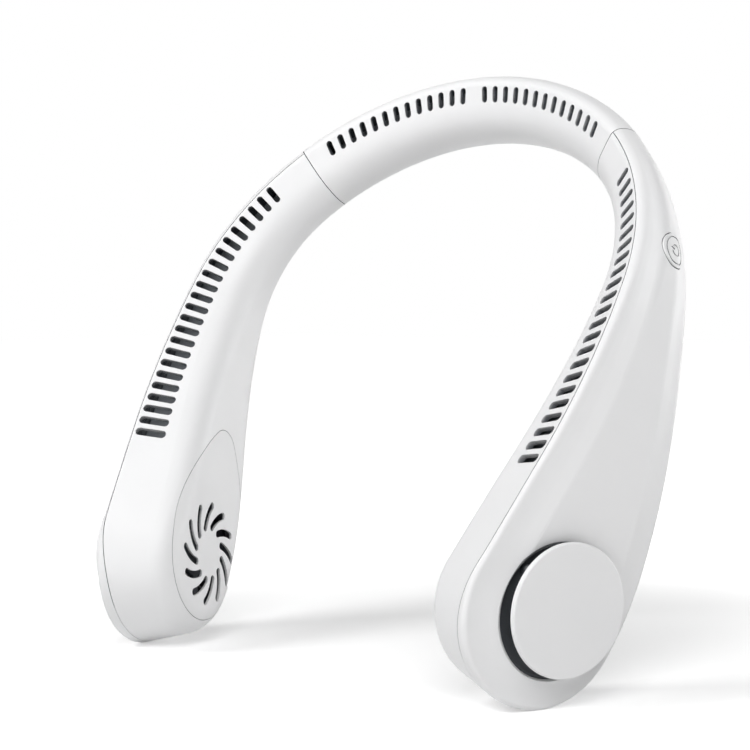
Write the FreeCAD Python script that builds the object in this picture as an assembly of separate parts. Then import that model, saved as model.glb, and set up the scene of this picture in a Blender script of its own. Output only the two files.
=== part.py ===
"""Electric neck fan: a slotted neck band with two hollow arms, each ending in a blower lobe.

Design frame while building: x right, y from the lobes towards the band, z the way the slots face.
The last step leans the whole fan as it is worn (+Z up, the lobes in front at -Y) and puts the
origin in the middle of the band's inner face, where it rests on the neck.
Arm sections have two axes of their own: t towards the outer face, c towards the slotted face.
"""
import FreeCAD
import Part
import math
import os

os.makedirs("parts", exist_ok=True)
Vec = FreeCAD.Vector

# slot line, seen square to its plane
band_radius = 92.5
band_half_angle = 36.9
shoulder_radius = 73.75
arm_bow_radius = 265.0
toe_angle = 12.4
straight_length = 32.6
joint_angle = 7.1
wear_lean = 56.41

# arm and band sections, measured from the slot line
band_cant = 22.0
lobe_cant = 12.7
face_slope = 11.0
band_inner, lobe_inner = 13.0, 17.2
band_front, lobe_front = 5.5, 8.0
band_outer, lobe_outer = 7.8, 10.7
band_under, band_low_front = 1.5, 3.4
band_depth = 16.4
band_tuck = 5.6
lobe_radius = 28.2
band_crease, lobe_crease, crease_swell = 6.0, 11.2, 2.0
shoulder_swell, shoulder_length = 1.5, 85.0
band_rim_share, lobe_rim_share = 0.5, 0.45
band_rise_share, lobe_rise_share = 0.47, 0.1
band_rim_round, lobe_rim_round, rim_loss_share = 10.0, 18.0, 4.0
band_front_round, lobe_front_round = 12.0, 8.5
band_back_round, lobe_back_round = 4.8, 9.5
band_edge_round, band_low_round, lobe_edge_round = 3.4, 5.0, 1.6
band_crease_round, lobe_crease_round = 7.0, 2.0
taper_start = 8.0
swell_start = 28.0
round_ahead = 3.1
axis_depth = 28.1
axis_offset = 4.9
wall = 1.8
least_round = 0.4
arm_stations = 13
band_stations = 13

# seam between inner and outer shell, and the band joints
seam_below = 1.4
seam_gap = 0.25
seam_dip = 2.9
joint_gap = 0.3
front_clear = 6.0
sleeve_half = 8.0
sleeve_wall = 1.3
sleeve_gap = 0.2
seat = 0.1

# outlet slots
slot_pitch = 4.59
band_slots = 13
arm_slots = 23
arm_slot_start = 17.5
band_slot_length, first_slot_length, last_slot_length = 5.5, 6.9, 11.0
band_slot_width, last_slot_width = 2.2, 2.9
slot_skew = -4.0

# duct floor behind the slots
floor_drop = 9.0
floor_thick = 1.2
floor_end = 25.0

# tear-shaped grille insert, in the lobe plane
tear_round = 21.9
tear_ahead, tear_up = 0.85, 0.85
tip_round = 8.5
tip_ahead, tip_up = -35.25, 5.75
tear_side_round = 60.0
insert_gap = 0.2
ledge_width = 1.8
ledge_thick = 1.5
grille_slots = 12
grille_first, grille_last = 8.9, 16.1
grille_slot_width = 2.5
grille_mid_angle, grille_last_angle, grille_turn = 13.0, 25.0, -15.0

# intake cover disc and the opening under it
cover_radius = 19.35
cover_thick = 1.5
cover_round = 0.6
cover_face = 20.2
intake_radius = 19.0
intake_flare, intake_drop = 1.4, 0.4
intake_up, intake_ahead = -0.3, 1.6
cover_posts = 3
post_radius = 1.5
post_circle = 15.6
post_turn = 108.0

# blower housing, impeller and motor, placed along the lobe axis
housing_radius = 21.0
housing_wall = 1.2
housing_low, plate_level, plate_thick = -7.0, 12.2, 1.4
inlet_radius = 13.8
outlet_half = 12.0
outlet_margin = 1.5
spider_arms = 3
spider_width = 3.0
spider_radius = 7.5
impeller_radius = 17.4
blade_inner = 12.4
blade_low, blade_high = -4.6, 9.4
blade_thick = 0.8
blade_count = 24
blade_angle = 32.0
blade_length = 5.5
rim_width = 1.0
disc_level, disc_thick = 2.2, 1.2
hub_radius, hub_wall = 8.2, 1.0
hub_low, hub_high = -4.4, 6.2
rotor_wall, rotor_low = 0.6, -4.2
magnet_wall = 1.2
shaft_radius = 0.75
bearing_radius, bearing_length = 1.6, 2.0
shaft_play = 0.04
tube_wall = 0.8
tube_end = 4.0
stator_radius, stator_low, stator_high = 4.6, -3.4, 1.4
stator_core = 3.3
pole_width, pole_shoe = 1.5, 0.7
stator_poles = 6
fit_gap = 0.02
shaft_clear = 0.2

# battery cell, screws, electronics
cell_radius, cell_length = 7.0, 42.0
cell_end, cell_up, cell_out = -27.0, 6.5, 1.2
rib_thick = 2.0
rib_inset = 7.0
pillar_radius, pillar_ahead, pillar_spread = 2.3, -23.8, 7.5
screw_radius, screw_head, screw_head_thick, screw_length = 0.9, 1.8, 1.2, 9.0
button_radius = 5.4
button_place, button_drop = 44.0, 11.9
button_proud = 0.4
button_gap = 0.25
flange_width, flange_thick = 0.9, 0.8
button_travel = 0.8
press_shares = (0.0, 0.5, 1.0)
groove_width, groove_depth, groove_inset = 0.4, 0.3, 0.9
mark_radius, mark_line = 1.9, 0.45
stem_radius, stem_length = 1.5, 1.2
switch_side, switch_height = 4.4, 2.2
cap_radius, cap_height = 1.2, 0.6
board_thick = 1.2
board_length, board_width = 20.0, 9.0
stand_radius, stand_reach = 1.4, 8.0
notch_margin = 1.2
socket_width, socket_height, socket_length, socket_wall = 8.94, 3.2, 7.4, 0.35
socket_ahead, socket_out, socket_mouth = -31.0, 1.0, -19.6
socket_gap = 0.15
tongue_width, tongue_thick, tongue_length = 6.7, 0.7, 5.0
charge_board_length, charge_board_depth = 13.0, 7.0
wire_radius = 1.3
wire_drop = 12.8
wire_inward = 4.0
wire_run = 24.0
rest_drop = 13.5

# lengths along the slot line, from the middle of the band
band_end = band_radius * math.radians(band_half_angle)
joint_s = band_end + shoulder_radius * math.radians(joint_angle)
shoulder_end = band_end + shoulder_radius * math.radians(90.0 - band_half_angle)
bow_end = shoulder_end + arm_bow_radius * math.radians(toe_angle)
axis_s = bow_end + straight_length
round_s = axis_s + round_ahead
rise = math.tan(math.radians(face_slope))


def mix(first, last, share):
    return first + (last - first) * share


def ease(share):
    share = min(max(share, 0.0), 1.0)
    return share * share * (3.0 - 2.0 * share)


def spine(s):
    """Point and heading on the slot line at length s from the middle of the band."""
    side = math.copysign(1.0, s)
    s = abs(s)
    reach = (band_radius - shoulder_radius)
    mid_x = reach * math.sin(math.radians(band_half_angle))
    mid_y = reach * math.cos(math.radians(band_half_angle))
    bow_x = mid_x + shoulder_radius - arm_bow_radius
    if s <= band_end:
        turn = s / band_radius
        x, y = band_radius * math.sin(turn), band_radius * math.cos(turn)
    elif s <= shoulder_end:
        turn = math.radians(band_half_angle) + (s - band_end) / shoulder_radius
        x = mid_x + shoulder_radius * math.sin(turn)
        y = mid_y + shoulder_radius * math.cos(turn)
    else:
        turn = math.pi / 2 + (min(s, bow_end) - shoulder_end) / arm_bow_radius
        rest = max(s - bow_end, 0.0)
        x = bow_x + arm_bow_radius * math.sin(turn) + rest * math.cos(turn)
        y = mid_y + arm_bow_radius * math.cos(turn) - rest * math.sin(turn)
    return side * x, y, side * turn


def station(s):
    """Origin and the t and c axes of the section at s."""
    x, y, turn = spine(s)
    cant = math.radians(mix(band_cant, lobe_cant, ease((abs(s) - joint_s) / (bow_end - joint_s))))
    out = Vec(math.sin(turn), math.cos(turn), 0)
    t_axis = out * math.cos(cant) + Vec(0, 0, math.sin(cant))
    c_axis = Vec(0, 0, math.cos(cant)) - out * math.sin(cant)
    return Vec(x, y, 0), t_axis, c_axis


def hump(share):
    """Smooth rise from nothing at share 0 to one at the middle and back to nothing at share 1."""
    return 4.0 * ease(share) * ease(1.0 - share)


def corners(s):
    """Eight section corners (t, c, radius), from the inner top round to the inner bottom.

    A hollow rim corner lies between each front edge and the crease beside it.
    """
    past = abs(s) - joint_s
    along = past / (round_s - joint_s)
    grow = ease(along)
    fall = ease((past - taper_start) / (round_s - joint_s - taper_start))
    swell = ease((past - swell_start) / (round_s - joint_s - swell_start))
    inner = -mix(band_inner, lobe_inner, swell)
    front = mix(band_front, lobe_front, grow)
    outer = mix(band_outer, lobe_outer, grow) + shoulder_swell * hump(past / shoulder_length)
    lower = outer - mix(band_under, 0.0, grow)
    low_front = mix(band_low_front, lobe_front, grow)
    crease = mix(band_crease, lobe_crease, grow) + crease_swell * hump(along)
    rim_share = mix(band_rim_share, lobe_rim_share, grow)
    rise_share = mix(band_rise_share, lobe_rise_share, grow)
    top = front * rise
    low = top - mix(band_depth, lobe_radius + lobe_radius, fall)
    turned = ease(past / (bow_end - joint_s))
    tuck = mix(-band_tuck, (front - inner) * rise, turned)
    front_round = mix(band_front_round, lobe_front_round, grow)
    back_round = mix(band_back_round, lobe_back_round, grow)
    edge_round = mix(band_edge_round, lobe_edge_round, grow)
    low_round = mix(band_low_round, lobe_edge_round, grow)
    crease_round = mix(band_crease_round, lobe_crease_round, grow)
    rim_round = mix(band_rim_round, lobe_rim_round, grow)
    return [(inner, inner * rise, front_round),
            (front, top, edge_round),
            (mix(front, outer, rise_share), top - crease * rim_share, rim_round),
            (outer, top - crease, crease_round),
            (lower, low + crease, crease_round),
            (mix(low_front, lower, rise_share), low + crease * rim_share, rim_round),
            (low_front, low, low_round),
            (inner, low + tuck, back_round)]


def inset(points, depth):
    """The same corners moved inwards by depth, each radius less by depth, a hollow one by more."""
    count = len(points)
    moved = []
    for i in range(count):
        (x0, y0, _), (x1, y1, _) = points[i], points[(i + 1) % count]
        long = math.hypot(x1 - x0, y1 - y0)
        nx, ny = (y1 - y0) / long, (x0 - x1) / long
        moved.append((x0 + nx * depth, y0 + ny * depth, (x1 - x0) / long, (y1 - y0) / long))
    result = []
    for i in range(count):
        ax, ay, adx, ady = moved[i - 1]
        bx, by, bdx, bdy = moved[i]
        cross = adx * bdy - ady * bdx
        step = ((bx - ax) * bdy - (by - ay) * bdx) / cross
        radius = points[i][2]
        loss = depth
        if cross > 0:
            loss = depth * rim_loss_share
        if radius > 0:
            radius = max(radius - loss, least_round)
        result.append((ax + adx * step, ay + ady * step, radius))
    return result


def rounded(points, place):
    """Closed wire of lines and arcs round the corners; place turns (u, v) into a point."""
    count = len(points)
    ends = []
    for i in range(count):
        x, y, radius = points[i]
        before, after = points[i - 1], points[(i + 1) % count]
        ux, uy = before[0] - x, before[1] - y
        vx, vy = after[0] - x, after[1] - y
        ul, vl = math.hypot(ux, uy), math.hypot(vx, vy)
        ux, uy, vx, vy = ux / ul, uy / ul, vx / vl, vy / vl
        half = math.acos(ux * vx + uy * vy) / 2
        if radius <= 0:
            ends.append(((x, y), None, (x, y)))
            continue
        reach = radius / math.tan(half)
        bx, by = ux + vx, uy + vy
        bl = math.hypot(bx, by)
        lift = radius / math.sin(half) - radius
        ends.append(((x + ux * reach, y + uy * reach),
                     (x + bx / bl * lift, y + by / bl * lift),
                     (x + vx * reach, y + vy * reach)))
    edges = []
    for i in range(count):
        first, mid, last = ends[i]
        if mid:
            edges.append(Part.Arc(place(*first), place(*mid), place(*last)).toShape())
        edges.append(Part.makeLine(place(*last), place(*ends[(i + 1) % count][0])))
    return Part.Wire(edges)


def section(s, depth):
    origin, t_axis, c_axis = station(s)
    points = corners(s)
    if depth > 0:
        points = inset(points, depth)
    return rounded(points, lambda t, c: origin + t_axis * t + c_axis * c)


def tube(first, last, count, depth):
    """Solid through count sections from s = first to s = last."""
    wires = [section(mix(first, last, i / (count - 1)), depth) for i in range(count)]
    return Part.makeLoft(wires, True, False)


def slab(first, last, count, box):
    """Solid swept along the slot line; box(s) gives t and c limits there."""
    wires = []
    for i in range(count):
        s = mix(first, last, i / (count - 1))
        origin, t_axis, c_axis = station(s)
        t0, t1, c0, c1 = box(s)
        ring = [(t0, c0), (t1, c0), (t1, c1), (t0, c1), (t0, c0)]
        wires.append(Part.makePolygon([origin + t_axis * t + c_axis * c for t, c in ring]))
    return Part.makeLoft(wires, True, False)


def lobe_end(depth):
    """Half turn of the end section about the middle of the lobe."""
    origin, t_axis, c_axis = station(round_s)
    points = corners(round_s)
    if depth > 0:
        points = inset(points, depth)
    middle = (points[0][1] + points[-1][1]) / 2
    half = [(points[0][0], middle, 0)] + points[:4] + [(points[3][0], middle, 0)]
    wire = rounded(half, lambda t, c: origin + t_axis * t + c_axis * c)
    centre = origin + c_axis * middle
    turned = Part.Face(wire).revolve(centre, t_axis, 180.0)
    ahead = t_axis.cross(c_axis)
    if (turned.CenterOfMass - centre).dot(ahead) < 0:
        turned = Part.Face(wire).revolve(centre, t_axis, -180.0)
    return turned


def arm_solid(first, depth):
    return tube(first, round_s, arm_stations, depth).fuse(lobe_end(depth))


def hollow(depth):
    """The arm's own form moved inwards by depth, reaching past the band joint."""
    return arm_solid(joint_s - sleeve_half, depth)


def lobe_place():
    """Placement of the lobe frame: local x up to the slotted face, y to the tip, z outwards."""
    origin, t_axis, c_axis = station(axis_s)
    centre = origin - c_axis * axis_depth - t_axis * axis_offset
    ahead = t_axis.cross(c_axis)
    return FreeCAD.Placement(FreeCAD.Matrix(
        c_axis.x, ahead.x, t_axis.x, centre.x,
        c_axis.y, ahead.y, t_axis.y, centre.y,
        c_axis.z, ahead.z, t_axis.z, centre.z,
        0, 0, 0, 1))


def at_lobe(shape):
    placed = shape.copy()
    placed.Placement = lobe_place().multiply(shape.Placement)
    return placed


def rod(radius, low, high, x=0.0, y=0.0):
    return Part.makeCylinder(radius, high - low, Vec(x, y, low))


def ring(outer, inner, low, high):
    return rod(outer, low, high).cut(rod(inner, low, high))


def brick(x0, x1, y0, y1, z0, z1):
    return Part.makeBox(x1 - x0, y1 - y0, z1 - z0, Vec(x0, y0, z0))


def stadium(length, width, low, high):
    """Bar with round ends along x, from z = low to z = high."""
    half = (length - width) / 2
    radius = width / 2
    bar = brick(-half, half, -radius, radius, low, high)
    return bar.fuse([rod(radius, low, high, -half), rod(radius, low, high, half)])


def swing(shape, degrees):
    turned = shape.copy()
    turned.rotate(Vec(0, 0, 0), Vec(0, 0, 1), degrees)
    return turned


def fan_out(shape, count):
    """Copies of a shape at equal turns about the local z axis."""
    return [swing(shape, 360.0 / count * i) for i in range(count)]


def tear(grow, low, high):
    """Prism of the egg-shaped outline in the lobe frame, its edge moved out by grow.

    A big and a small end circle, joined by two side arcs that touch both from outside.
    """
    big, small, side = tear_round + grow, tip_round + grow, tear_side_round + grow
    apart = math.hypot(tip_up - tear_up, tip_ahead - tear_ahead)
    lean = math.atan2(tip_ahead - tear_ahead, tip_up - tear_up)
    along = ((side - big) ** 2 - (side - small) ** 2 + apart ** 2) / (2 * apart)
    across = math.sqrt((side - big) ** 2 - along ** 2)

    def rim(x, y, radius, angle):
        return Vec(x + radius * math.cos(angle), y + radius * math.sin(angle), low)

    def flank(sign):
        """Side arc's end points and middle, from the big end to the small end."""
        x = tear_up + along * math.cos(lean) + sign * across * math.sin(lean)
        y = tear_ahead + along * math.sin(lean) - sign * across * math.cos(lean)
        first = math.atan2(tear_ahead - y, tear_up - x)
        last = math.atan2(tip_ahead - y, tip_up - x)
        middle = math.atan2(math.sin(first) + math.sin(last), math.cos(first) + math.cos(last))
        return [rim(x, y, side, angle) for angle in (first, middle, last)]

    left, right = flank(1.0), flank(-1.0)
    edges = [Part.Arc(*left).toShape(),
             Part.Arc(left[2], rim(tip_up, tip_ahead, small, lean), right[2]).toShape(),
             Part.Arc(right[2], right[1], right[0]).toShape(),
             Part.Arc(right[0], rim(tear_up, tear_ahead, big, lean + math.pi), left[0]).toShape()]
    return Part.Face(Part.Wire(edges)).extrude(Vec(0, 0, high - low))


def tear_span():
    """Lobe-frame heights that hold the inner wall and none of the outer one."""
    return -lobe_inner, axis_offset - front_clear


def swirl_slot(low, high):
    """One curved grille slot: an arc through three polar points, with round ends."""
    middle = (grille_first + grille_last) / 2
    spots = [(grille_first, 0.0), (middle, grille_mid_angle), (grille_last, grille_last_angle)]
    points = [Vec(r * math.sin(math.radians(a)), r * math.cos(math.radians(a)), low) for r, a in spots]
    curve = Part.Arc(*points).toShape().Curve
    centre, radius = curve.Center, curve.Radius
    half = grille_slot_width / 2

    def side(point, change):
        away = point - centre
        return centre + away * ((radius + change) / radius)

    def cap(point, other):
        away = (point - centre).cross(Vec(0, 0, 1))
        away.normalize()
        if away.dot(other - point) > 0:
            away = away * -1.0
        return point + away * half

    outer = [side(p, half) for p in points]
    inner = [side(p, -half) for p in points]
    edges = [Part.Arc(*outer).toShape(),
             Part.Arc(outer[2], cap(points[2], points[0]), inner[2]).toShape(),
             Part.Arc(inner[2], inner[1], inner[0]).toShape(),
             Part.Arc(inner[0], cap(points[0], points[2]), outer[0]).toShape()]
    return Part.Face(Part.Wire(edges)).extrude(Vec(0, 0, high - low))


def face_slot(s, length, width):
    """Slot cutter square to the slotted face at s."""
    origin, t_axis, c_axis = station(s)
    slope = math.radians(face_slope)
    across = t_axis * math.cos(slope) + c_axis * math.sin(slope)
    normal = c_axis * math.cos(slope) - t_axis * math.sin(slope)
    ahead = normal.cross(across)
    bar = swing(stadium(length, width, -wall - wall, wall), math.copysign(slot_skew, s))
    bar.Placement = FreeCAD.Placement(FreeCAD.Matrix(
        across.x, ahead.x, normal.x, origin.x,
        across.y, ahead.y, normal.y, origin.y,
        across.z, ahead.z, normal.z, origin.z,
        0, 0, 0, 1)).multiply(bar.Placement)
    return bar


def arm_slot_cutters():
    cutters = []
    for i in range(arm_slots):
        share = i / (arm_slots - 1)
        cutters.append(face_slot(joint_s + arm_slot_start + slot_pitch * i,
                                 mix(first_slot_length, last_slot_length, share),
                                 mix(band_slot_width, last_slot_width, share)))
    return cutters


def band_slot_cutters():
    spots = [slot_pitch * (i + 1) for i in range(band_slots)]
    return [face_slot(side * s, band_slot_length, band_slot_width) for s in spots for side in (-1, 1)]


def lid_side(shift):
    """Everything outside the seam, moved outwards by shift."""
    far = lobe_radius + lobe_radius

    def box(s):
        front = corners(s)[1][0]
        dip = seam_dip * ease((s - axis_s) / lobe_radius)
        cut = front - seam_below - dip + shift
        return cut, cut + far, -far - axis_offset, far / 2

    return slab(joint_s - sleeve_half, round_s + lobe_radius + axis_offset, arm_stations + arm_stations, box)


def pillar_spots():
    middle = mix(tear_up, tip_up, (pillar_ahead - tear_ahead) / (tip_ahead - tear_ahead))
    return [(middle + pillar_spread, pillar_ahead), (middle - pillar_spread, pillar_ahead)]


def pillar_level():
    """Lobe-frame height of the outside of the inner face at the case screws."""
    return axis_offset + corners(axis_s + pillar_ahead)[0][0]


def inner_wall():
    """Room of the inner shell's wall, with a clearance, inside the seam."""
    return arm_solid(joint_s, 0).cut(hollow(wall + seat + seat)).cut(lid_side(seam_gap))


def ledge_zone():
    """Room of the rebate round the insert, with a clearance."""
    low, high = tear_span()
    return at_lobe(tear(ledge_width + seat, low, high)).cut(hollow(wall + ledge_thick + seat))


def outer_level():
    return axis_offset + lobe_outer


def intake_cutter():
    """Round opening whose outer rim flares out in a quarter round."""
    top = outer_level() - intake_drop
    low = top - intake_flare
    wide = intake_radius + intake_flare
    ends = [Vec(0, 0, low - wall), Vec(intake_radius, 0, low - wall), Vec(intake_radius, 0, low),
            Vec(wide, 0, top), Vec(wide, 0, top + wall), Vec(0, 0, top + wall)]
    bend = intake_flare * math.sqrt(0.5)
    edges = [Part.makeLine(ends[0], ends[1]), Part.makeLine(ends[1], ends[2]),
             Part.Arc(ends[2], Vec(wide - bend, 0, low + bend), ends[3]).toShape(),
             Part.makeLine(ends[3], ends[4]), Part.makeLine(ends[4], ends[5]), Part.makeLine(ends[5], ends[0])]
    cutter = Part.Face(Part.Wire(edges)).revolve(Vec(0, 0, 0), Vec(0, 0, 1), 360.0)
    cutter.translate(Vec(intake_up, intake_ahead, 0))
    return cutter


def make_ledge():
    """Rebate round the insert, with a land for the case screws at the tip."""
    low, high = tear_span()
    layer = hollow(wall / 2).cut(hollow(wall + ledge_thick))
    hole = rod(tear_round - ledge_width, low, high, tear_up, tear_ahead)
    ledge = layer.common(at_lobe(tear(ledge_width, low, high).cut(hole)))
    bores = []
    for x, y in pillar_spots():
        head_low = pillar_level() + wall / 2
        bores.append(at_lobe(rod(screw_radius + seat, low, high, x, y)))
        bores.append(at_lobe(rod(screw_head + seat, low, head_low + screw_head_thick + seat, x, y)))
    return ledge.cut(bores)


def make_inner_shell(shell):
    low, high = tear_span()
    part = shell.cut(lid_side(0.0))
    part = part.cut(at_lobe(tear(0.0, low, high)))
    part = part.cut(arm_slot_cutters())
    return part.fuse(make_ledge())


def make_socket_cutter():
    return at_lobe(socket_pill(socket_gap, socket_mouth - wall - wall - wall, socket_mouth + socket_length))


def make_outer_shell(shell, with_button):
    part = shell.common(lid_side(seam_gap))
    part = part.cut(at_lobe(intake_cutter()))
    keep = hollow(wall / 2)
    rest = inner_wall()
    top = outer_level() - wall / 2
    foot = pillar_level() + wall + ledge_thick + seat
    adds = []
    for x, y in pillar_spots():
        pilot = rod(screw_radius + fit_gap, foot, foot + screw_length, x, y)
        adds.append(at_lobe(rod(pillar_radius, foot, top, x, y).cut(pilot)))
    for y in (cell_end - rib_inset, cell_end - cell_length + rib_inset):
        block = brick(cell_up - cell_radius, cell_up + cell_radius, y - rib_thick / 2, y + rib_thick / 2,
                      cell_out + cell_radius / 2, top + wall)
        adds.append(at_lobe(block.cut(cell_shape(seat))).common(keep).cut(rest))
    if with_button:
        adds += [stand.common(keep).cut(rest) for stand in make_stands()]
    part = part.fuse(adds)
    if with_button:
        part = part.cut(at_button(rod(button_radius + button_gap, 0.0, button_level() + wall)))
    return part


def make_insert(body):
    """Panel flush with the inner face, in the rebate, with the curved intake slots."""
    low, high = tear_span()
    layer = body.cut(hollow(wall / 2 - seat))
    panel = layer.common(at_lobe(tear(-insert_gap, low, high)))
    slots = [at_lobe(swing(slot, grille_turn)) for slot in fan_out(swirl_slot(low, 0.0), grille_slots)]
    return panel.cut(slots)


def make_cover():
    disc = rod(cover_radius, cover_face - cover_thick, cover_face)
    rims = [e for e in disc.Edges if len(e.Vertexes) == 1 and e.CenterOfMass.z > cover_face - cover_round]
    disc = disc.makeFillet(cover_round, rims)
    post = rod(post_radius, plate_level + seat, cover_face - cover_thick / 2, post_circle)
    return at_lobe(disc.fuse(fan_out(swing(post, post_turn), cover_posts)))


def make_housing():
    """Round casing with an inlet plate, an outlet towards the arm and a motor spider.

    Its upper half reaches the outer wall and its lower half stays clear of the insert ledge.
    """
    top = outer_level()
    side = ring(housing_radius, housing_radius - housing_wall, housing_low, top)
    plate = ring(housing_radius, inlet_radius, plate_level - plate_thick, plate_level)
    arm = brick(0.0, housing_radius - housing_wall / 2, -spider_width / 2, spider_width / 2,
                housing_low, housing_low + plate_thick)
    base = rod(spider_radius, housing_low, housing_low + plate_thick).fuse(fan_out(arm, spider_arms))
    tube_outer = bearing_radius + tube_wall
    column = rod(tube_outer, housing_low, tube_end)
    bore = rod(bearing_radius + fit_gap, housing_low + plate_thick, tube_end)
    window = brick(-outlet_half, outlet_half, -housing_radius - wall, 0.0,
                   housing_low + plate_thick + outlet_margin, plate_level - plate_thick - outlet_margin)
    body = side.cut(window).fuse([plate, base, column]).cut(bore)
    placed = at_lobe(body)
    far = housing_radius + housing_radius
    upper = at_lobe(brick(-far, far, -far, far, 0.0, far))
    high = placed.common(hollow(wall + seat)).common(upper)
    low = placed.common(hollow(wall + ledge_thick + seat)).cut(upper)
    return high.fuse(low).removeSplitter()


def make_impeller():
    cup = rod(hub_radius, hub_low, hub_high).cut(rod(hub_radius - hub_wall, hub_low, hub_high - hub_wall))
    disc = ring(impeller_radius, hub_radius - hub_wall / 2, disc_level, disc_level + disc_thick)
    blade = brick(0.0, blade_length, -blade_thick / 2, blade_thick / 2, blade_low, blade_high)
    blade.rotate(Vec(0, 0, 0), Vec(0, 0, 1), blade_angle)
    blade.translate(Vec(blade_inner, 0, 0))
    blade = blade.common(rod(impeller_radius, blade_low, blade_high))
    rims = [ring(impeller_radius, impeller_radius - rim_width, blade_low, blade_low + rim_width),
            ring(impeller_radius, impeller_radius - rim_width, blade_high - rim_width, blade_high)]
    return at_lobe(cup.fuse([disc] + rims + fan_out(blade, blade_count)))


def rotor_radius():
    return hub_radius - hub_wall - fit_gap


def rotor_top():
    return hub_high - hub_wall - fit_gap


def make_rotor_can():
    outer, top = rotor_radius(), rotor_top()
    cup = rod(outer, rotor_low, top).cut(rod(outer - rotor_wall, rotor_low, top - rotor_wall))
    return at_lobe(cup.cut(rod(shaft_radius + fit_gap, rotor_low, top)))


def make_magnet():
    outer = rotor_radius() - rotor_wall - fit_gap
    return at_lobe(ring(outer, outer - magnet_wall, rotor_low, rotor_top() - rotor_wall - fit_gap))


def make_shaft():
    return at_lobe(rod(shaft_radius, housing_low + plate_thick + shaft_clear, rotor_top()))


def make_bearings():
    bore = shaft_radius + shaft_play
    foot = housing_low + plate_thick
    first = ring(bearing_radius, bore, foot, foot + bearing_length)
    last = ring(bearing_radius, bore, tube_end - bearing_length, tube_end)
    return at_lobe(Part.makeCompound([first, last]))


def make_stator():
    hole = bearing_radius + tube_wall + fit_gap
    core = ring(stator_core, hole, stator_low, stator_high)
    neck = brick(hole + fit_gap, stator_radius - pole_shoe / 2, -pole_width / 2, pole_width / 2,
                 stator_low, stator_high)
    shoe = ring(stator_radius, stator_radius - pole_shoe, stator_low, stator_high)
    shoe = shoe.common(brick(0.0, stator_radius, -pole_width, pole_width, stator_low, stator_high))
    return at_lobe(core.fuse(fan_out(neck.fuse(shoe), stator_poles)))


def make_duct_floor(hollow, first, last, count):
    """Strip across the hollow that parts the air duct from the space for cell and wires."""
    def box(s):
        far = lobe_radius
        return -far, far, -floor_drop - floor_thick, -floor_drop

    return hollow.common(slab(first, last, count, box))


def cell_shape(grow):
    return Part.makeCylinder(cell_radius + grow, cell_length + grow + grow,
                             Vec(cell_up, cell_end - cell_length - grow, cell_out), Vec(0, 1, 0))


def make_cell():
    return at_lobe(cell_shape(0.0))


def make_screws():
    level = pillar_level() + wall / 2 + seat
    screws = []
    for x, y in pillar_spots():
        head = rod(screw_head, level, level + screw_head_thick, x, y)
        screws.append(head.fuse(rod(screw_radius, level, level + screw_head_thick + screw_length / 2, x, y)))
    return at_lobe(Part.makeCompound(screws))


def button_face():
    """Height of the outer face over the slot line at the button, and how far the face leans back."""
    points = corners(joint_s + button_place)
    (t0, c0, _), (t1, c1, _) = points[3], points[4]
    return mix(t0, t1, (c0 + button_drop) / (c0 - c1)), math.atan2(t0 - t1, c0 - c1)


def button_level():
    return button_face()[0]


def at_button(shape):
    """Place a shape in the button frame: local x to the slotted face, y along the arm, z outwards."""
    origin, t_axis, c_axis = station(joint_s + button_place)
    level, lean = button_face()
    normal = t_axis * math.cos(lean) - c_axis * math.sin(lean)
    across = t_axis * math.sin(lean) + c_axis * math.cos(lean)
    centre = origin + t_axis * level - c_axis * button_drop - normal * level
    ahead = normal.cross(across)
    placed = shape.copy()
    placed.Placement = FreeCAD.Placement(FreeCAD.Matrix(
        across.x, ahead.x, normal.x, centre.x,
        across.y, ahead.y, normal.y, centre.y,
        across.z, ahead.z, normal.z, centre.z,
        0, 0, 0, 1)).multiply(shape.Placement)
    return placed


def press_room():
    """The inner shell's wall as the button passes it, from rest to fully pressed."""
    _, t_axis, c_axis = station(joint_s + button_place)
    _, lean = button_face()
    normal = t_axis * math.cos(lean) - c_axis * math.sin(lean)
    places = []
    for share in press_shares:
        wall_room = inner_wall()
        wall_room.translate(normal * ((button_travel + seat) * share))
        places.append(wall_room)
    return places


def flange_top():
    return button_level() - wall - seat - wall / 2


def switch_top():
    """Top of the switch cap, out of the stem's reach when the button is pressed."""
    return flange_top() - flange_thick - stem_length - button_travel - seat


def board_top():
    return switch_top() - cap_height - switch_height


def make_button(body):
    """Cap that follows the outer face, with a rim groove, a power mark, a flange and a stem."""
    level = button_level()
    low = flange_top() - flange_thick
    proud = body.copy()
    _, t_axis, _ = station(joint_s + button_place)
    proud.translate(t_axis * button_proud)
    cap = at_button(rod(button_radius, low, level + wall)).common(proud)
    marks = proud.copy()
    marks.translate(t_axis * -groove_depth)
    groove = ring(button_radius - groove_inset, button_radius - groove_inset - groove_width, low, level + wall)
    arc = ring(mark_radius, mark_radius - mark_line, low, level + wall)
    gap = brick(0.0, mark_radius, -mark_line - mark_line / 2, mark_line + mark_line / 2, low, level + wall)
    bar = brick(mark_radius / 3, mark_radius + mark_line, -mark_line / 2, mark_line / 2, low, level + wall)
    cuts = groove.fuse([arc.cut(gap), bar])
    cap = cap.cut(at_button(cuts).cut(marks))
    flange = at_button(rod(button_radius + flange_width, low, low + flange_thick))
    flange = flange.common(hollow(wall + seat + seat))
    stem = at_button(rod(stem_radius, low - stem_length, low + flange_thick))
    return cap.fuse([flange, stem]).cut(press_room())


def make_switch():
    half = switch_side / 2
    top = switch_top()
    body = brick(-half, half, -half, half, board_top(), top - cap_height)
    return at_button(body.fuse(rod(cap_radius, board_top(), top)))


def make_board():
    return at_button(brick(-board_width / 2, board_width / 2, -board_length / 2, board_length / 2,
                           board_top() - seat - board_thick, board_top() - seat))


def make_stands():
    """Two posts under the outer face that hold the control board."""
    return [at_button(rod(stand_radius, board_top(), button_level(), 0.0, y)) for y in (-stand_reach, stand_reach)]


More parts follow.
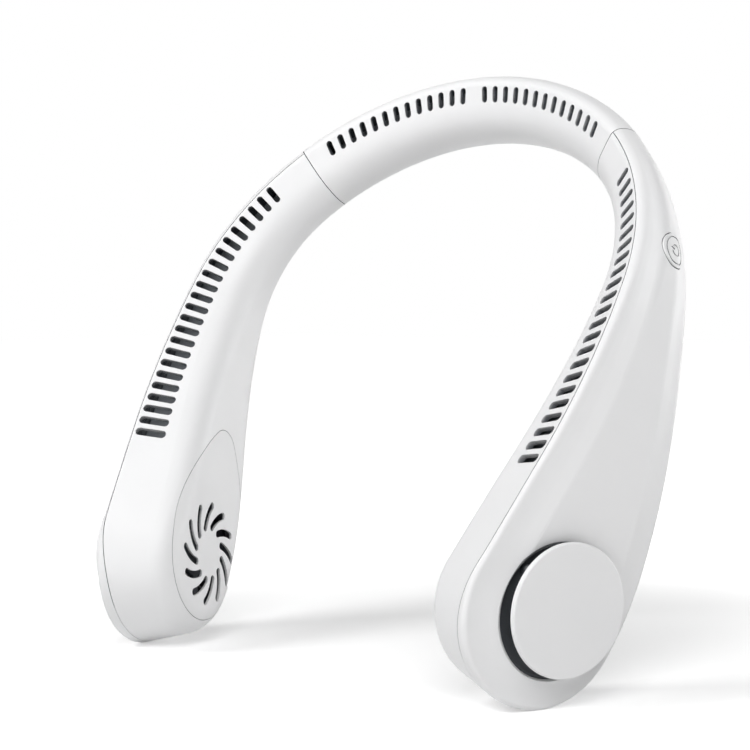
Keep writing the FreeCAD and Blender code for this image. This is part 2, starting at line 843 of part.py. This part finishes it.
def make_notch():
    """Room for the button, switch and board in the duct floor."""
    reach = button_radius + flange_width + notch_margin
    half = board_length / 2 + notch_margin
    return at_button(brick(-reach, reach, -half, half, board_top() - board_thick - notch_margin,
                           button_level() + wall))


def socket_pill(grow, mouth, back):
    """Rounded bar along local x for the charging socket."""
    pill = stadium(socket_width + grow + grow, socket_height + grow + grow, mouth, back)
    pill.rotate(Vec(0, 0, 0), Vec(0, 0, 1), 90.0)
    pill.rotate(Vec(0, 0, 0), Vec(0, 1, 0), 90.0)
    pill.translate(Vec(0, socket_ahead, socket_out))
    return pill


def make_socket():
    back = socket_mouth + socket_length
    case = socket_pill(0.0, socket_mouth, back)
    case = case.cut(socket_pill(-socket_wall, socket_mouth, back - socket_wall))
    tongue = brick(back - socket_wall - tongue_length, back, socket_ahead - tongue_width / 2,
                   socket_ahead + tongue_width / 2, socket_out - tongue_thick / 2, socket_out + tongue_thick / 2)
    return at_lobe(case.fuse(tongue))


def make_charge_board():
    top = socket_out - socket_height / 2 - seat
    half = charge_board_length / 2
    back = socket_mouth + socket_length
    board = brick(back - charge_board_depth / 2, back + charge_board_depth / 2, socket_ahead - half,
                  socket_ahead + half, top - board_thick, top)
    return at_lobe(board).common(hollow(wall + seat))


def make_band():
    tubes = tube(-joint_s, joint_s, band_stations, 0)
    hollow = tube(-joint_s - wall, joint_s + wall, band_stations, wall)
    return tubes.cut(hollow).cut(band_slot_cutters())


def make_sleeve():
    """Collar inside both ends that meet at a band joint."""
    first, last = joint_s - sleeve_half, joint_s + sleeve_half
    count = band_stations // 2
    over = sleeve_wall
    outer = tube(first, last, count, wall + sleeve_gap)
    return outer.cut(tube(first - over, last + over, count, wall + sleeve_gap + sleeve_wall))


def make_wires():
    """Wire bundle from arm to arm through the band."""
    reach = joint_s + wire_run
    count = band_stations + band_stations
    wires = []
    for i in range(count):
        s = mix(-reach, reach, i / (count - 1))
        origin, t_axis, c_axis = station(s)
        centre = origin - t_axis * wire_inward - c_axis * wire_drop
        wires.append(Part.Wire(Part.makeCircle(wire_radius, centre, t_axis.cross(c_axis))))
    return Part.makeLoft(wires, True, False)


def rest_point():
    origin, t_axis, c_axis = station(0.0)
    return origin - t_axis * band_inner - c_axis * rest_drop


def export(name, shape, mirrored=False):
    """Lean the piece as worn, with the neck rest at the origin, and write it."""
    piece = shape.copy()
    if mirrored:
        piece = piece.mirror(Vec(0, 0, 0), Vec(1, 0, 0))
    piece.translate(rest_point() * -1.0)
    piece.rotate(Vec(0, 0, 0), Vec(1, 0, 0), wear_lean)
    piece.exportStep("parts/" + name + ".step")
    print(name, len(piece.Solids), piece.isValid(), round(piece.Volume))


def main():
    body = arm_solid(joint_s + joint_gap, 0)
    shell = body.cut(hollow(wall))
    inner = make_inner_shell(shell)
    floor_first = joint_s + sleeve_half + floor_thick
    floor = make_duct_floor(hollow(wall + seat), floor_first, axis_s - floor_end, arm_stations)
    floor = floor.cut(ledge_zone())
    export("left_inner_shell", inner, True)
    export("right_inner_shell", inner.cut(make_socket_cutter()))
    export("left_outer_shell", make_outer_shell(shell, False), True)
    export("right_outer_shell", make_outer_shell(shell, True))
    export("left_duct_floor", floor, True)
    export("right_duct_floor", floor.cut(make_notch()))
    pairs = {"grille_insert": make_insert(body), "intake_cover": make_cover(), "blower_housing": make_housing(),
             "impeller": make_impeller(), "rotor_can": make_rotor_can(), "magnet_ring": make_magnet(),
             "motor_shaft": make_shaft(), "motor_bearings": make_bearings(), "motor_stator": make_stator(),
             "battery_cell": make_cell(), "case_screws": make_screws(), "joint_sleeve": make_sleeve()}
    for name, shape in pairs.items():
        export("left_" + name, shape, True)
        export("right_" + name, shape)
    export("power_button", make_button(body))
    export("tact_switch", make_switch())
    export("control_board", make_board())
    export("charge_socket", make_socket())
    export("charge_board", make_charge_board())
    export("neck_band", make_band())
    band_reach = joint_s - sleeve_half - floor_thick
    band_hollow = tube(-joint_s - wall, joint_s + wall, band_stations, wall + seat)
    export("band_duct_floor", make_duct_floor(band_hollow, -band_reach, band_reach, band_stations))
    export("wire_harness", make_wires())


main()
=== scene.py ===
"""Electric neck fan: finishes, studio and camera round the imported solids.

Every length is in metres, in the frame of the solids: +Z up, lobes in front at -Y.
"""
import bpy
import math
import numpy as np
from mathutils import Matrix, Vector


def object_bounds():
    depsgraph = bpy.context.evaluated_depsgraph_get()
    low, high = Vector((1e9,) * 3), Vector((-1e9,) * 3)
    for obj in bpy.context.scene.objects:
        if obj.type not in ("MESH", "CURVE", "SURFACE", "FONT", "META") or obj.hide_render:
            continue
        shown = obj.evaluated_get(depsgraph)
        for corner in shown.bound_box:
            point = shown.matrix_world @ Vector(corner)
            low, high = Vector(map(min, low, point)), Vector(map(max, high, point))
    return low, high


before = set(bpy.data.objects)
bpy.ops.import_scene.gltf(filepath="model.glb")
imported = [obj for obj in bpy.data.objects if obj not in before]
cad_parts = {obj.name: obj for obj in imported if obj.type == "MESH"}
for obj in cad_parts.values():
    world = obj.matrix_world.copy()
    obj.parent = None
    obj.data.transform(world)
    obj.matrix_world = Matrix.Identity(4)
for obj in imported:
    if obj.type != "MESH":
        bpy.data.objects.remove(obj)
cad_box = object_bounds()

# camera, from the photograph's viewing angle in degrees
LOOK_AT = Vector((0.0, -0.061371, -0.077350))
VIEW_AZIMUTH, VIEW_ELEVATION = 40.93, 2.26
VIEW_DISTANCE = 0.601
LENS_MM, SENSOR_MM = 90.63, 36.0
CLIP_NEAR = 0.01

# floor: its grey under the lamps, its white as seen, and the glow that fades it out round the fan
FLOOR_LEVEL = cad_box[0][2]
FLOOR_HALF = 4.0
FLOOR_GREY, FLOOR_WHITE = (0.86, 0.86, 0.86), (1.0, 1.0, 1.0)
GLOW_NEAR, GLOW_FAR = 0.2, 1.0
FADE_NEAR, FADE_FAR = 0.15, 0.32

# soft lamps: name, place, width and height, power in watts
SOFTBOXES = (
    ("key_high_left", (-0.420, -0.710, 0.715), (0.4, 0.4), 5.0),
    ("fill_high_front", (0.563, -0.710, 0.610), (0.6, 0.6), 6.4),
    ("fill_low_left", (0.043, -1.156, 0.025), (0.8, 0.5), 2.4),
    ("fill_low_right", (1.060, 0.210, 0.040), (0.8, 0.5), 1.1),
    ("fill_side_right", (0.585, 0.862, 0.048), (0.8, 0.5), 2.4),
    ("rim_back_right", (0.194, 0.992, 0.173), (0.7, 0.7), 2.2),
)

# moulded plastic: noises per metre, and the noise levels between which an effect runs its course
GRAIN_SCALE, GRAIN_BUMP, GRAIN_DEPTH = 2600.0, 0.08, 0.00002
GRAIN_NOISE = {"detail": 3.0, "roughness": 0.6}
FLOW_NOISE, FLOW_LEVELS = {"scale": 26.0, "detail": 3.0, "roughness": 0.5}, (0.35, 0.7)
HAZE_NOISE, HAZE_LEVELS = {"scale": 95.0, "detail": 4.0, "roughness": 0.65}, (0.35, 0.65)

# painted shade in recesses: how far a wall counts, the open shares at which the shade is full and at
# which it is gone, and the band above the floor
RECESS_SAMPLES = 8
RECESS_REACH, RECESS_SHUT, RECESS_OPEN = 0.02, 0.25, 0.6
GROUND_RISE = (0.0072, 0.0212)

# bare metal: tool lines drawn out along Z, and spots
LINE_SCALE, LINE_BUMP, LINE_DEPTH = 1800.0, 0.12, 0.00001
LINE_SQUEEZE = (1.0, 1.0, 0.06)
LINE_NOISE, LINE_LEVELS = {"detail": 2.0, "roughness": 0.7}, (0.3, 0.7)
SPOT_NOISE, SPOT_LEVELS = {"scale": 320.0, "detail": 4.0, "roughness": 0.6}, (0.52, 0.7)

# what a group's socket holds until a material sets it
UNSET_COLOR, UNSET_ROUGHNESS = (0.8, 0.8, 0.8), 0.5

scene = bpy.context.scene
scene.view_settings.view_transform = "Standard"


class Tree:
    """Short hand for placing nodes and feeding sockets in one node tree."""

    def __init__(self, tree):
        self.tree = tree

    def node(self, kind, **settings):
        made = self.tree.nodes.new(kind)
        for key, value in settings.items():
            setattr(made, key, value)
        return made

    def put(self, value, socket):
        """Feed socket from another socket, or write a number or a colour on it."""
        if isinstance(value, bpy.types.NodeSocket):
            self.tree.links.new(value, socket)
        elif isinstance(value, tuple):
            socket.default_value = (*value, 1.0)
        else:
            socket.default_value = value

    def group(self, tree, values):
        made = self.node("ShaderNodeGroup", node_tree=tree)
        for name, value in values.items():
            self.put(value, made.inputs[name])
        return made.outputs

    def noise(self, place, scale, detail, roughness):
        made = self.node("ShaderNodeTexNoise")
        self.put(place, made.inputs["Vector"])
        self.put(scale, made.inputs["Scale"])
        self.put(detail, made.inputs["Detail"])
        self.put(roughness, made.inputs["Roughness"])
        return made.outputs["Fac"]

    def spread(self, value, low, high, to_low=0.0, to_high=1.0):
        made = self.node("ShaderNodeMapRange", interpolation_type="SMOOTHSTEP")
        self.put(value, made.inputs["Value"])
        self.put(low, made.inputs["From Min"])
        self.put(high, made.inputs["From Max"])
        self.put(to_low, made.inputs["To Min"])
        self.put(to_high, made.inputs["To Max"])
        return made.outputs["Result"]

    def math(self, operation, first, second):
        made = self.node("ShaderNodeMath", operation=operation)
        self.put(first, made.inputs[0])
        self.put(second, made.inputs[1])
        return made.outputs["Value"]

    def blend(self, share, first, second):
        made = self.node("ShaderNodeMix", data_type="RGBA")
        sockets = {socket.identifier: socket for socket in (*made.inputs, *made.outputs)}
        self.put(share, sockets["Factor_Float"])
        self.put(first, sockets["A_Color"])
        self.put(second, sockets["B_Color"])
        return sockets["Result_Color"]

    def object_place(self):
        return self.node("ShaderNodeTexCoord").outputs["Object"]


def new_group(name, inputs, outputs):
    """Node group with these named sockets: its tree, what it is given and what it puts out."""
    group = bpy.data.node_groups.new(name, "ShaderNodeTree")
    t = Tree(group)
    for socket, value in inputs.items():
        kind = "NodeSocketColor" if isinstance(value, tuple) else "NodeSocketFloat"
        t.put(value, group.interface.new_socket(socket, in_out="INPUT", socket_type=kind))
    for socket in outputs:
        kind = "NodeSocketColor" if socket == "Color" else "NodeSocketFloat"
        group.interface.new_socket(socket, in_out="OUTPUT", socket_type=kind)
    return t, t.node("NodeGroupInput").outputs, t.node("NodeGroupOutput").inputs


def moulded_skin():
    """Group: spark-eroded grain, flow shading and handling haze of a moulded plastic.

    Height is fine noise at Grain Scale, Color runs from Color to Shade with broad noise, and
    Roughness runs from Satin to Dull with a middling noise.
    """
    inputs = {"Color": UNSET_COLOR, "Shade": UNSET_COLOR, "Grain Scale": GRAIN_SCALE,
              "Satin": UNSET_ROUGHNESS, "Dull": UNSET_ROUGHNESS}
    t, given, result = new_group("moulded_skin", inputs, ("Color", "Roughness", "Height"))
    place = t.object_place()
    flow = t.spread(t.noise(place, **FLOW_NOISE), *FLOW_LEVELS)
    haze = t.noise(place, **HAZE_NOISE)
    t.put(t.blend(flow, given["Color"], given["Shade"]), result["Color"])
    t.put(t.spread(haze, *HAZE_LEVELS, given["Satin"], given["Dull"]), result["Roughness"])
    t.put(t.noise(place, given["Grain Scale"], **GRAIN_NOISE), result["Height"])
    return t.tree


def recess_shade():
    """Group: painted shade. Color falls to the shade colour where the surface is walled in, as inside
    the slots and shells.

    The share of open directions within Reach runs smoothly from Shut to Open. Near the ground only
    the piece's own walls count, so what the fan stands on paints no shade on it.
    """
    inputs = {"Color": UNSET_COLOR, "Painted Shade": UNSET_COLOR, "Reach": RECESS_REACH,
              "Shut": RECESS_SHUT, "Open": RECESS_OPEN}
    t, given, result = new_group("recess_shade", inputs, ("Color",))
    height = t.node("ShaderNodeSeparateXYZ")
    t.put(t.object_place(), height.inputs["Vector"])
    both = t.node("ShaderNodeMix", data_type="FLOAT")
    ground = [FLOOR_LEVEL + rise for rise in GROUND_RISE]
    t.put(t.spread(height.outputs["Z"], *ground), both.inputs["Factor"])
    for name, alone in (("A", True), ("B", False)):
        open_sky = t.node("ShaderNodeAmbientOcclusion", samples=RECESS_SAMPLES, only_local=alone)
        t.put(given["Reach"], open_sky.inputs["Distance"])
        t.put(open_sky.outputs["AO"], both.inputs[name])
    share = t.spread(both.outputs["Result"], given["Shut"], given["Open"])
    t.put(t.blend(share, given["Painted Shade"], given["Color"]), result["Color"])
    return t.tree


def worked_metal():
    """Group: fine tool lines, handling spots and a dulled film on plain metal.

    Lines are noise at Line Scale, drawn out along Object Z; Roughness runs from Bright to Dull
    with them, and Color runs to Tarnish where a middling noise peaks.
    """
    inputs = {"Color": UNSET_COLOR, "Tarnish": UNSET_COLOR, "Line Scale": LINE_SCALE,
              "Bright": UNSET_ROUGHNESS, "Dull": UNSET_ROUGHNESS}
    t, given, result = new_group("worked_metal", inputs, ("Color", "Roughness", "Height"))
    place = t.object_place()
    squeeze = t.node("ShaderNodeMapping")
    squeeze.inputs["Scale"].default_value = LINE_SQUEEZE
    t.put(place, squeeze.inputs["Vector"])
    lines = t.noise(squeeze.outputs["Vector"], given["Line Scale"], **LINE_NOISE)
    spots = t.spread(t.noise(place, **SPOT_NOISE), *SPOT_LEVELS)
    t.put(t.blend(spots, given["Color"], given["Tarnish"]), result["Color"])
    t.put(t.spread(lines, *LINE_LEVELS, given["Bright"], given["Dull"]), result["Roughness"])
    t.put(lines, result["Height"])
    return t.tree


SKIN = moulded_skin()
RECESS = recess_shade()
METAL = worked_metal()


def new_material(name):
    """Material with its standard shader, and its tree."""
    material = bpy.data.materials.new(name)
    material.use_nodes = True
    return material, Tree(material.node_tree)


def feed_surface(t, color, finish, bump, depth):
    """Feed the standard shader with a colour, and with the roughness and bumped height of a finish."""
    surface = t.tree.nodes["Principled BSDF"].inputs
    lift = t.node("ShaderNodeBump")
    t.put(bump, lift.inputs["Strength"])
    t.put(depth, lift.inputs["Distance"])
    t.put(finish["Height"], lift.inputs["Height"])
    t.put(color, surface["Base Color"])
    t.put(finish["Roughness"], surface["Roughness"])
    t.put(lift.outputs["Normal"], surface["Normal"])


def plastic(name, color, shade, satin, dull, grain=GRAIN_SCALE, bump=GRAIN_BUMP, painted_recess_shade=None):
    """Moulded plastic: the skin group gives its look, and the recess group paints shade of the given
    colour into its recesses.
    """
    material, t = new_material(name)
    skin = t.group(SKIN, {"Color": color, "Shade": shade, "Grain Scale": grain,
                          "Satin": satin, "Dull": dull})
    tint = skin["Color"]
    if painted_recess_shade:
        tint = t.group(RECESS, {"Color": tint, "Painted Shade": painted_recess_shade})["Color"]
    feed_surface(t, tint, skin, bump, GRAIN_DEPTH)
    return material


def metal(name, color, tarnish, bright, dull, lines=LINE_SCALE, bump=LINE_BUMP):
    """Bare metal: the worked group gives its look."""
    material, t = new_material(name)
    t.tree.nodes["Principled BSDF"].inputs["Metallic"].default_value = 1.0
    worked = t.group(METAL, {"Color": color, "Tarnish": tarnish, "Line Scale": lines,
                             "Bright": bright, "Dull": dull})
    feed_surface(t, worked["Color"], worked, bump, LINE_DEPTH)
    return material


# painted shade: the colours that the recess group paints inside the slots and shells and in the
# recesses of the white trim
SLOT_PAINTED_SHADE = (0.085, 0.094, 0.107)
TRIM_PAINTED_SHADE = (0.045, 0.051, 0.06)
WHITE_SHELL = plastic("shell_white_abs", (0.86, 0.86, 0.865), (0.845, 0.847, 0.853), 0.4, 0.48,
                      painted_recess_shade=SLOT_PAINTED_SHADE)
WHITE_TRIM = plastic("trim_white_abs", (0.85, 0.85, 0.855), (0.835, 0.837, 0.843), 0.42, 0.5,
                     painted_recess_shade=TRIM_PAINTED_SHADE)
SLATE_DUCT = plastic("duct_slate_abs", (0.31, 0.33, 0.355), (0.265, 0.283, 0.305), 0.5, 0.65)
DARK_HOUSING = plastic("housing_dark_abs", (0.075, 0.082, 0.092), (0.055, 0.06, 0.068), 0.5, 0.65)
GREY_BLADE = plastic("blade_grey_abs", (0.10, 0.105, 0.115), (0.075, 0.08, 0.088), 0.45, 0.6)
PLAIN_STEEL = metal("plain_steel", (0.62, 0.62, 0.63), (0.48, 0.475, 0.47), 0.24, 0.42)
BONDED_MAGNET = plastic("bonded_magnet_black", (0.06, 0.06, 0.062), (0.04, 0.04, 0.042), 0.55, 0.75,
                        grain=5200.0, bump=0.3)
WOUND_COPPER = metal("wound_copper", (0.72, 0.36, 0.19), (0.5, 0.22, 0.11), 0.3, 0.5,
                     lines=3400.0, bump=0.5)
CELL_WRAP = plastic("cell_wrap_blue", (0.05, 0.16, 0.42), (0.04, 0.13, 0.36), 0.28, 0.4,
                    grain=900.0, bump=0.05)
GREEN_BOARD = plastic("board_green_lacquer", (0.02, 0.16, 0.07), (0.015, 0.12, 0.055), 0.3, 0.45,
                      grain=1400.0, bump=0.2)
BLACK_SWITCH = plastic("switch_black", (0.03, 0.03, 0.032), (0.022, 0.022, 0.024), 0.4, 0.55)
BLACK_SLEEVE = plastic("wire_black_pvc", (0.03, 0.03, 0.03), (0.02, 0.02, 0.02), 0.4, 0.55,
                       grain=1500.0, bump=0.15)

FINISHES = {
    WHITE_SHELL: ("inner_shell", "outer_shell", "neck_band"),
    WHITE_TRIM: ("grille_insert", "intake_cover", "power_button"),
    SLATE_DUCT: ("duct_floor", "band_duct_floor"),
    DARK_HOUSING: ("blower_housing", "joint_sleeve"),
    GREY_BLADE: ("impeller",),
    PLAIN_STEEL: ("rotor_can", "motor_shaft", "motor_bearings", "case_screws", "charge_socket"),
    BONDED_MAGNET: ("magnet_ring",),
    WOUND_COPPER: ("motor_stator",),
    CELL_WRAP: ("battery_cell",),
    GREEN_BOARD: ("control_board", "charge_board"),
    BLACK_SWITCH: ("tact_switch",),
    BLACK_SLEEVE: ("wire_harness",),
}


def finish_nodes():
    """Give every solid its finish by the plain part of its name."""
    by_part = {part: finish for finish, parts in FINISHES.items() for part in parts}
    for name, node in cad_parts.items():
        part = name.removeprefix("left_").removeprefix("right_")
        for slot in node.material_slots:
            slot.material = by_part[part]


def seen_ray(t):
    """One for a ray from the camera, straight or by a reflection or through glass, else zero."""
    path = t.node("ShaderNodeLightPath").outputs
    mirrored = t.math("MAXIMUM", path["Is Glossy Ray"], path["Is Transmission Ray"])
    return t.math("MAXIMUM", path["Is Camera Ray"], mirrored)


def floor_finish():
    """Matt white that keeps the shadow under the fan and glows to plain white away from it.

    The glow runs from GLOW_NEAR to GLOW_FAR between the two FADE distances from the origin, and
    only seen rays meet it, so it lights nothing.
    """
    material, t = new_material("studio_floor_white")
    t.tree.nodes.clear()
    seen = seen_ray(t)
    matt = t.node("ShaderNodeBsdfDiffuse")
    t.put(t.blend(seen, FLOOR_GREY, FLOOR_WHITE), matt.inputs["Color"])
    away = t.node("ShaderNodeVectorMath", operation="LENGTH")
    t.put(t.object_place(), away.inputs[0])
    lift = t.spread(away.outputs["Value"], FADE_NEAR, FADE_FAR, GLOW_NEAR, GLOW_FAR)
    glow = t.node("ShaderNodeEmission")
    t.put(t.math("MULTIPLY", seen, lift), glow.inputs["Strength"])
    both = t.node("ShaderNodeAddShader")
    t.put(matt.outputs["BSDF"], both.inputs[0])
    t.put(glow.outputs["Emission"], both.inputs[1])
    t.put(both.outputs["Shader"], t.node("ShaderNodeOutputMaterial").inputs["Surface"])
    return material


def make_floor():
    """Level square under the lobes, one grid of two parameters."""
    side = np.array([-FLOOR_HALF, FLOOR_HALF])
    u, v = np.meshgrid(side, side, indexing="ij")
    points = np.stack([u, v, np.full_like(u, FLOOR_LEVEL)], axis=-1).reshape(-1, 3)
    mesh = bpy.data.meshes.new("studio_floor")
    mesh.from_pydata(points.tolist(), [], [(0, 2, 3, 1)])
    mesh.materials.append(floor_finish())
    floor = bpy.data.objects.new("studio_floor", mesh)
    scene.collection.objects.link(floor)


def make_world():
    """White to seen rays and black to all others, so that only the lamps light the fan."""
    world = bpy.data.worlds.new("studio_white")
    world.use_nodes = True
    scene.world = world
    t = Tree(world.node_tree)
    sky = world.node_tree.nodes["Background"].inputs
    t.put(FLOOR_WHITE, sky["Color"])
    t.put(seen_ray(t), sky["Strength"])


def add_softbox(name, place, size, power):
    """Soft rectangular lamp at place, turned to the middle of the fan."""
    light = bpy.data.lights.new(name, "AREA")
    light.shape = "RECTANGLE"
    light.size, light.size_y = size
    light.energy = power
    lamp = bpy.data.objects.new(name, light)
    scene.collection.objects.link(lamp)
    lamp.location = place
    lamp.rotation_euler = (LOOK_AT - Vector(place)).to_track_quat("-Z", "Y").to_euler()


def make_camera():
    """Camera at the viewing distance from LOOK_AT, swung to the right and up by the viewing angles."""
    data = bpy.data.cameras.new("camera")
    data.lens, data.sensor_width = LENS_MM, SENSOR_MM
    data.clip_start = CLIP_NEAR
    camera = bpy.data.objects.new("camera", data)
    scene.collection.objects.link(camera)
    a, e = math.radians(VIEW_AZIMUTH), math.radians(VIEW_ELEVATION)
    back = Vector((math.sin(a) * math.cos(e), -math.cos(a) * math.cos(e), math.sin(e)))
    camera.location = LOOK_AT + back * VIEW_DISTANCE
    camera.rotation_euler = back.to_track_quat("Z", "Y").to_euler()
    scene.camera = camera


finish_nodes()
make_floor()
make_world()
for softbox in SOFTBOXES:
    add_softbox(*softbox)
make_camera()
